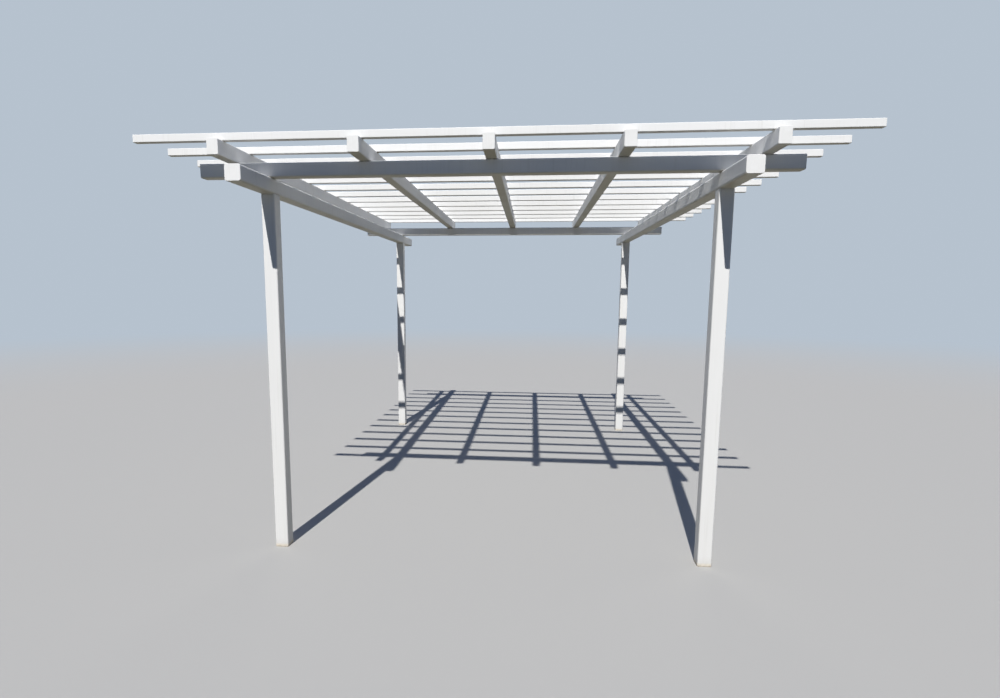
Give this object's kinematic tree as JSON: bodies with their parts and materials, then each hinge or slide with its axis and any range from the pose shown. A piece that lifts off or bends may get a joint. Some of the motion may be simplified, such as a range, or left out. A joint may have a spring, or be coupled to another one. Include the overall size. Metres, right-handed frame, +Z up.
{
  "type": "pergola",
  "caption": "White free-standing garden pergola: square posts carry beams, rafters and a flat roof of open slats.",
  "frame": {"origin": "on the ground, in the middle of the four posts, which is also the middle of the whole outline", "axes": "+X to the right and +Y to the back as seen from in front, +Z up"},
  "size_m": [4.306, 4.764, 2.685],
  "materials": {
    "white_coating": "semi-gloss",
    "white_cap": "satin"
  },
  "bodies": {
    "root": {"post_front_left": "white_coating", "post_front_right": "white_coating", "post_back_left": "white_coating", "post_back_right": "white_coating", "side_beam_left": "white_coating", "side_beam_right": "white_coating", "cross_beam_front": "white_coating", "cross_beam_back": "white_coating", "rafter_1": "white_coating", "rafter_2": "white_coating", "rafter_3": "white_coating", "rafter_4": "white_coating", "rafter_5": "white_coating", "slat_01": "white_coating", "slat_02": "white_coating", "slat_03": "white_coating", "slat_04": "white_coating", "slat_05": "white_coating", "slat_06": "white_coating", "slat_07": "white_coating", "slat_08": "white_coating", "slat_09": "white_coating", "slat_10": "white_coating", "slat_11": "white_coating", "slat_12": "white_coating", "slat_13": "white_coating", "side_beam_caps": "white_cap", "cross_beam_caps": "white_cap", "rafter_caps_front": "white_cap", "rafter_caps_back": "white_cap", "slat_caps_left": "white_cap", "slat_caps_right": "white_cap"}
  },
  "joints": []
}
